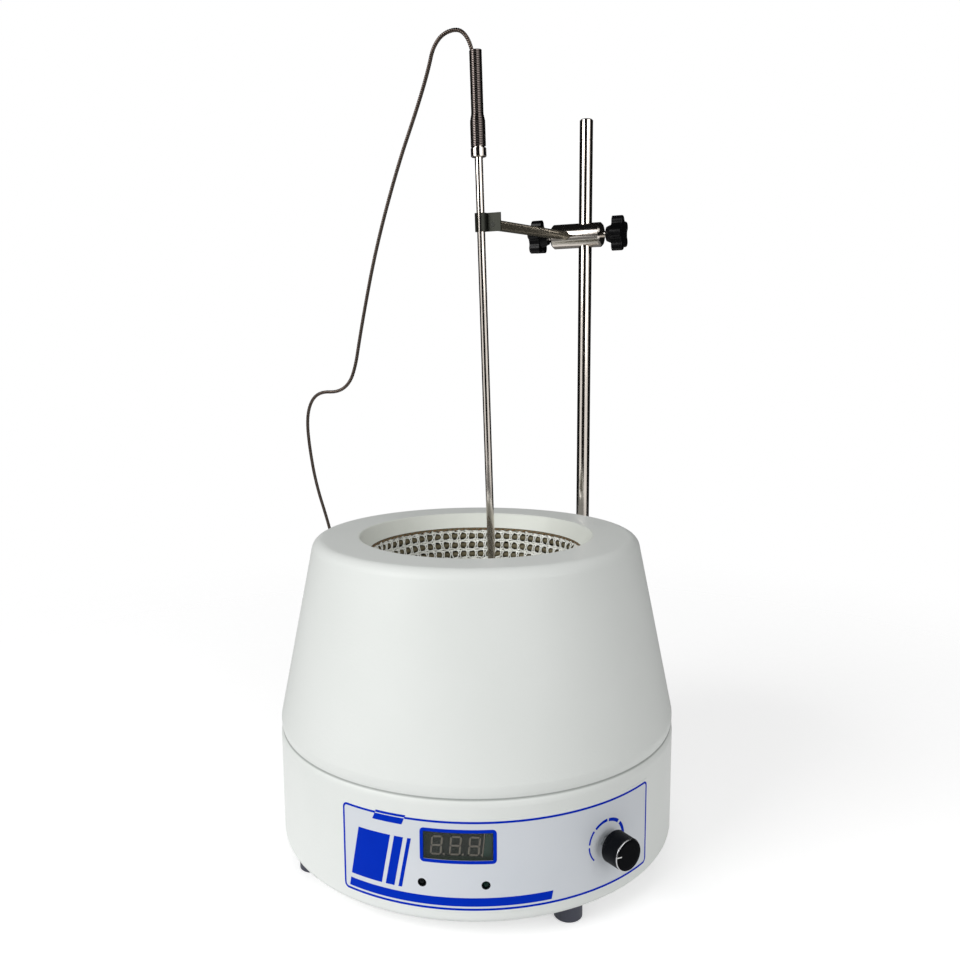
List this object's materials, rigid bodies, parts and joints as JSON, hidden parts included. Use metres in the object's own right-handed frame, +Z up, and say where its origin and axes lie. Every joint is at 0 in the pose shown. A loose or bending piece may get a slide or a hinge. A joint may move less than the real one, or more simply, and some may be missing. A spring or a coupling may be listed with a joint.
{
  "type": "heating mantle",
  "caption": "Bench heating mantle: cone-topped round casing with a woven bowl, front control panel, rear stand rod and a probe held over the bowl.",
  "frame": {"origin": "on the axis of the round casing, at the bench surface under the feet", "axes": "+Z up, the control panel faces -Y, +X to the right of somebody who faces the panel"},
  "size_m": [0.315, 0.3471, 0.6223],
  "materials": {
    "casing": "satin moulded",
    "nest": "knitted glass fibre",
    "wool": "felted",
    "plate_steel": "brushed",
    "screw_steel": "zinc plated",
    "foot_rubber": "matt",
    "panel_film": "printed film",
    "smoked_pane": "smoked",
    "black_plastic": "matt black",
    "dark_gloss": "gloss black",
    "lamp_red": "unlit lamp",
    "lamp_green": "unlit lamp",
    "board": "solder mask",
    "iron_core": "laminated",
    "sink_alloy": "extruded",
    "knob_black": "black anodised",
    "bracket_alloy": "cast and painted",
    "polished_steel": "polished",
    "clip_steel": "satin",
    "braid_steel": "braided",
    "ceramic": "fired"
  },
  "bodies": {
    "housing": {"base_shell": "casing", "upper_shell": "casing", "heating_nest": "nest", "insulation_bowl": "wool", "heat_shield": "plate_steel", "shield_screws": "screw_steel", "foot_front_right": "foot_rubber", "foot_rear_right": "foot_rubber", "foot_rear_left": "foot_rubber", "foot_front_left": "foot_rubber", "foot_screws": "screw_steel", "case_screws": "screw_steel", "panel_overlay": "panel_film", "display_window": "smoked_pane", "display_module": "black_plastic", "heat_lamp": "lamp_green", "alarm_lamp": "lamp_red", "control_board": "board", "board_screws": "screw_steel", "potentiometer_body": "sink_alloy", "potentiometer_nut": "screw_steel", "mains_inlet": "black_plastic", "inlet_screws": "screw_steel", "switch_frame": "black_plastic", "fuse_holder": "black_plastic", "sensor_socket": "sink_alloy", "sensor_socket_nut": "screw_steel", "power_board": "board", "power_board_screws": "screw_steel", "transformer": "iron_core", "heat_sink": "sink_alloy", "triac": "black_plastic", "terminal_strip": "black_plastic", "rod_bracket": "bracket_alloy", "bracket_screws": "screw_steel", "bracket_set_screw": "screw_steel", "sensor_plug": "sink_alloy", "plug_ring": "sink_alloy", "probe_cable": "braid_steel"},
    "control_knob": {"temperature_knob": "knob_black", "potentiometer_spindle": "screw_steel"},
    "switch_rocker": {"power_rocker": "dark_gloss"},
    "fuse_carrier": {"fuse_cap": "black_plastic", "fuse_link": "sink_alloy"},
    "rod": {"stand_rod": "polished_steel"},
    "boss": {"boss_head": "polished_steel"},
    "rod_screw": {"rod_clamp_knob": "black_plastic", "rod_clamp_stud": "screw_steel"},
    "arm_screw": {"arm_clamp_knob": "black_plastic", "arm_clamp_stud": "screw_steel"},
    "arm": {"probe_arm": "clip_steel", "probe_clip": "clip_steel"},
    "probe": {"probe_sheath": "polished_steel", "sensor_element": "ceramic", "probe_ferrule": "polished_steel", "probe_spring": "braid_steel"}
  },
  "joints": [
    {"name": "knob_turn", "type": "hinge", "parent": "housing", "child": "control_knob", "pos_m": [0.09405, -0.13557, 0.0563], "axis": [-0.57, 0.8216, 0], "range_deg": [-51, 219]},
    {"name": "rocker_press", "type": "hinge", "parent": "housing", "child": "switch_rocker", "pos_m": [-0.021, 0.1464, 0.052], "axis": [1, 0, 0], "range_deg": [0, 18]},
    {"name": "fuse_cap_turn", "type": "hinge", "parent": "housing", "child": "fuse_carrier", "pos_m": [-0.038, 0.15, 0.052], "axis": [0, 1, 0], "range_deg": [0, 60]},
    {"name": "rod_turn", "type": "hinge", "parent": "housing", "child": "rod", "pos_m": [0.1018, 0.1402, 0.06], "axis": [0, 0, 1], "range_deg": [-12, 16], "deforming": ["probe_cable"]},
    {"name": "boss_slide", "type": "slide", "parent": "rod", "child": "boss", "axis": [0, 0, 1], "range_m": [-0.015, 0.086], "deforming": ["probe_cable"]},
    {"name": "arm_slide", "type": "slide", "parent": "boss", "child": "arm", "axis": [0.3997, 0.914, 0.0689], "range_m": [-0.02, 0.045], "deforming": ["probe_cable"]},
    {"name": "probe_slide", "type": "slide", "parent": "arm", "child": "probe", "axis": [-0.0276, -0.0631, 0.9976], "range_m": [-0.008, 0.06], "deforming": ["probe_cable"]},
    {"name": "rod_screw_turn", "type": "hinge", "parent": "boss", "child": "rod_screw", "pos_m": [0.12471, 0.13018, 0.4981], "axis": [0.9162, -0.4007, 0], "range_deg": [0, 360]},
    {"name": "arm_screw_turn", "type": "hinge", "parent": "boss", "child": "arm_screw", "pos_m": [0.06515, 0.15623, 0.4981], "axis": [-0.9162, 0.4007, 0], "range_deg": [0, 360]}
  ]
}
